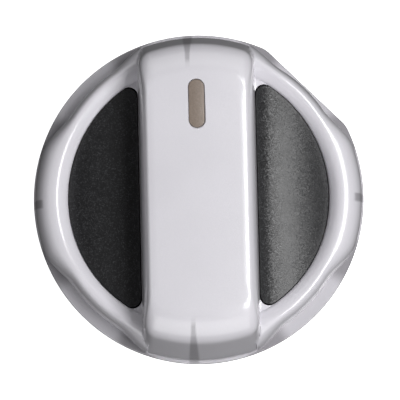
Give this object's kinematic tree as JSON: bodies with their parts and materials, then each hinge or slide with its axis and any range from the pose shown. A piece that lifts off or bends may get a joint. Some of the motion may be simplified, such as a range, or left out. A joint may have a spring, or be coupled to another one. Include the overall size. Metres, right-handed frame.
{
  "type": "rotary battery switch",
  "caption": "Compact rotary battery isolator: pearl-silver bar-grip knob with dark inlays on a round surface-mount case, with rear studs and side cable covers.",
  "frame": {"origin": "centre of the rear mounting rim, on the underside of its gasket", "axes": "+Z along the shaft from the mounting panel to the knob, +Y towards the knob's pointer at OFF, +X to the right as a person facing the knob sees it"},
  "size_m": [0.066, 0.066, 0.0702],
  "materials": {
    "pearl_paint": "pearl silver paint under a glossy clear coat",
    "anthracite_paint": "satin anthracite metallic paint",
    "pointer_paint": "satin taupe paint",
    "hub_nylon": "natural nylon, satin",
    "spring_steel": "bright spring steel",
    "case_plastic": "fine-grained black moulding",
    "cover_plastic": "fine-grained black moulding",
    "gasket_rubber": "matt black rubber",
    "deck_plastic": "red-brown moulding compound",
    "tinned_copper": "tin plate on copper",
    "zinc_steel": "zinc-plated steel",
    "shaft_steel": "turned stainless steel",
    "carrier_plastic": "ivory glass-filled moulding",
    "copper": "bare copper, rolled",
    "brass": "turned brass"
  },
  "bodies": {
    "housing": {"case": "case_plastic", "rim_gasket": "gasket_rubber", "terminal_deck": "deck_plastic", "terminal_barrier": "deck_plastic", "stud_left": "tinned_copper", "stud_right": "tinned_copper", "flat_washer_left": "zinc_steel", "flat_washer_right": "zinc_steel", "lock_washer_left": "spring_steel", "lock_washer_right": "spring_steel", "stud_nut_left": "zinc_steel", "stud_nut_right": "zinc_steel", "shaft_o_ring": "gasket_rubber", "seal_washer": "hub_nylon", "detent_spring_left": "spring_steel", "detent_spring_right": "spring_steel", "deck_screw_1": "zinc_steel", "mount_sleeve_1": "brass", "deck_screw_2": "zinc_steel", "mount_sleeve_2": "brass", "deck_screw_3": "zinc_steel", "mount_sleeve_3": "brass", "deck_screw_4": "zinc_steel", "mount_sleeve_4": "brass"},
    "rotor": {"drive_shaft": "shaft_steel", "contact_carrier": "carrier_plastic", "detent_wheel": "hub_nylon", "thrust_washer": "hub_nylon", "shaft_circlip": "spring_steel", "contact_spring": "spring_steel"},
    "bridge": {"contact_bridge": "copper"},
    "knob": {"knob_shell": "pearl_paint", "grip_inlay_left": "anthracite_paint", "grip_inlay_right": "anthracite_paint", "pointer_inlay": "pointer_paint", "knob_hub": "hub_nylon", "knob_clip": "spring_steel"},
    "cover_left": {"cable_cover_left": "cover_plastic"},
    "cover_right": {"cable_cover_right": "cover_plastic"}
  },
  "joints": [
    {"name": "switch_turn", "type": "hinge", "parent": "housing", "child": "rotor", "pos_m": [0, 0, 0], "axis": [0, 0, 1], "range_deg": [-90, 0], "deforming": ["detent_spring_left", "detent_spring_right"]},
    {"name": "knob_pull", "type": "slide", "parent": "rotor", "child": "knob", "axis": [0, 0, 1], "range_m": [0, 0.014]},
    {"name": "bridge_lift", "type": "slide", "parent": "rotor", "child": "bridge", "axis": [0, 0, 1], "range_m": [0, 0.001], "stiffness_N_per_m": 2000, "springref_m": -0.002, "deforming": ["contact_spring"]},
    {"name": "cover_left_pull", "type": "slide", "parent": "housing", "child": "cover_left", "axis": [-1, 0, 0], "range_m": [0, 0.012]},
    {"name": "cover_right_pull", "type": "slide", "parent": "housing", "child": "cover_right", "axis": [1, 0, 0], "range_m": [0, 0.012]}
  ]
}
